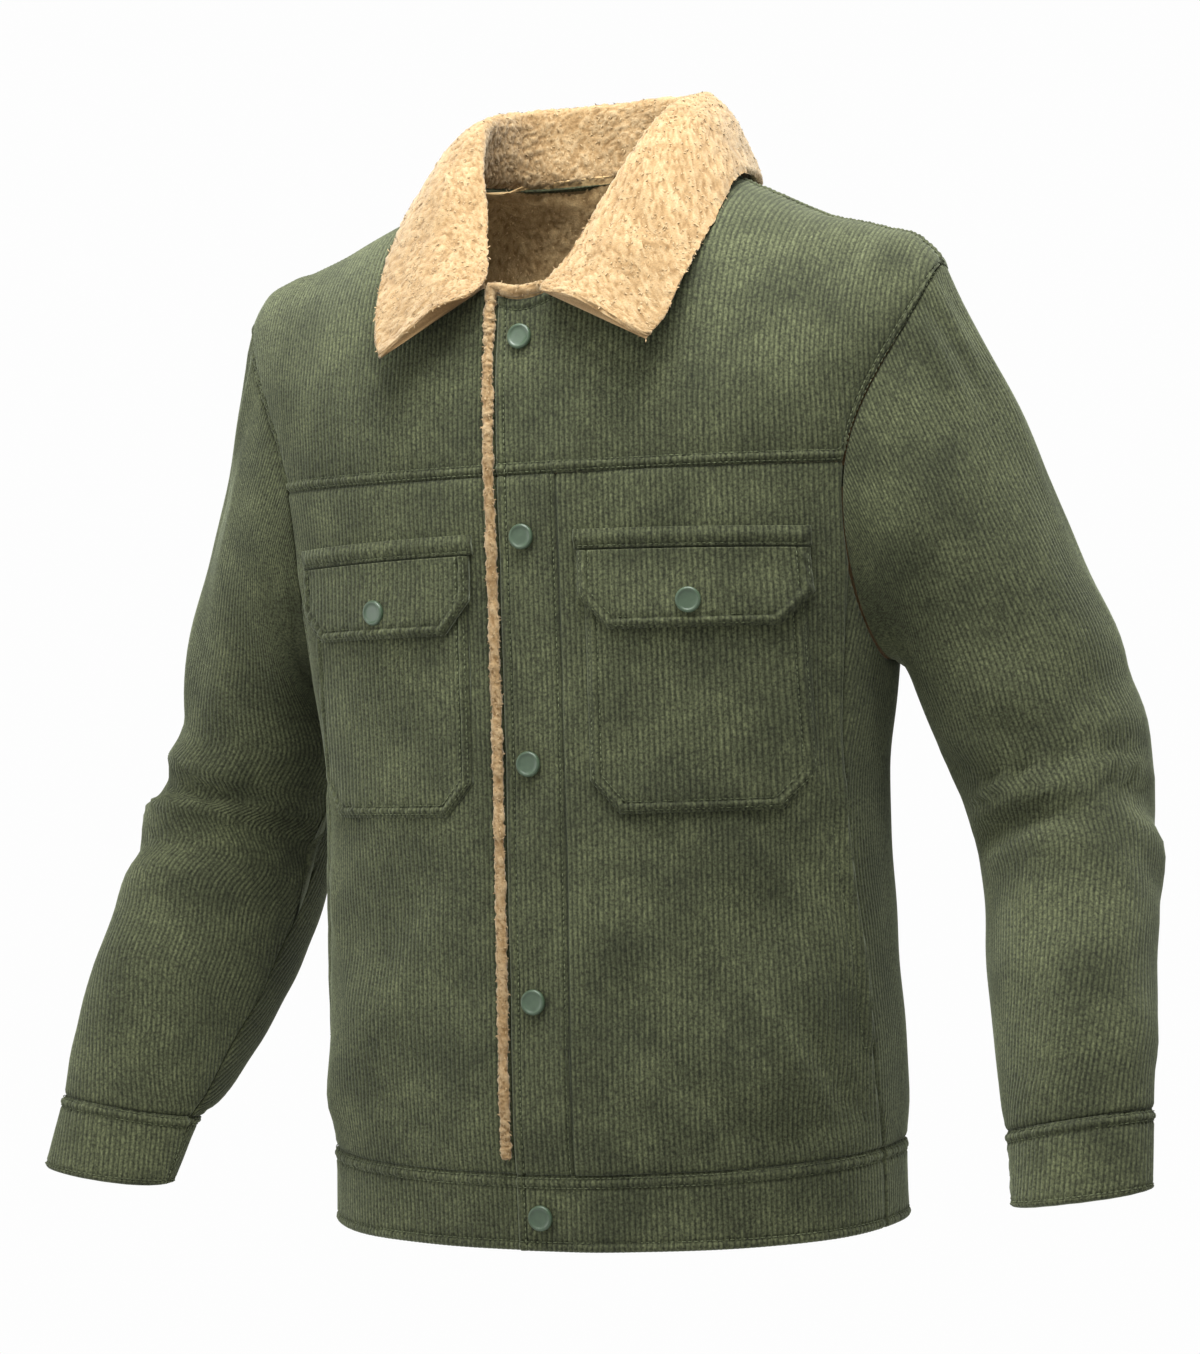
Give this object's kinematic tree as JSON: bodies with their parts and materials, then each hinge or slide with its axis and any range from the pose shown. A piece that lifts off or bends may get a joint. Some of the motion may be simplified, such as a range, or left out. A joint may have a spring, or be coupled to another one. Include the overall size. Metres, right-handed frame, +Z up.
{
  "type": "corduroy jacket",
  "caption": "Waist-length corduroy jacket with fleece collar, snap front, flapped chest pockets, long sleeves with cuffs and a waistband, standing open and hollow as worn.",
  "frame": {"origin": "centre of the neck opening, at the height of the back neck seam, where the wearer's neck passes through", "axes": "+Z up, +X towards the wearer's left, front faces -Y"},
  "size_m": [0.747, 0.2572, 0.7318],
  "materials": {
    "corduroy": "matt ribbed pile",
    "fleece": "curly pile",
    "painted_snap": "semi-matt"
  },
  "bodies": {
    "root": {"front_left": "corduroy", "front_right": "corduroy", "front_yoke_left": "corduroy", "front_yoke_right": "corduroy", "placket_left": "corduroy", "back": "corduroy", "waistband_left": "corduroy", "waistband_right": "corduroy", "waistband_back": "corduroy", "sleeve_left": "corduroy", "sleeve_right": "corduroy", "cuff_left": "corduroy", "cuff_right": "corduroy", "pocket_left": "corduroy", "pocket_right": "corduroy", "flap_welt_left": "corduroy", "flap_welt_right": "corduroy", "flap_left": "corduroy", "flap_right": "corduroy", "edge_roll": "fleece", "collar": "fleece", "neck_lining": "fleece", "snap_1": "painted_snap", "snap_2": "painted_snap", "snap_3": "painted_snap", "snap_4": "painted_snap", "snap_5": "painted_snap", "flap_snap_left": "painted_snap", "flap_snap_right": "painted_snap"}
  },
  "joints": []
}
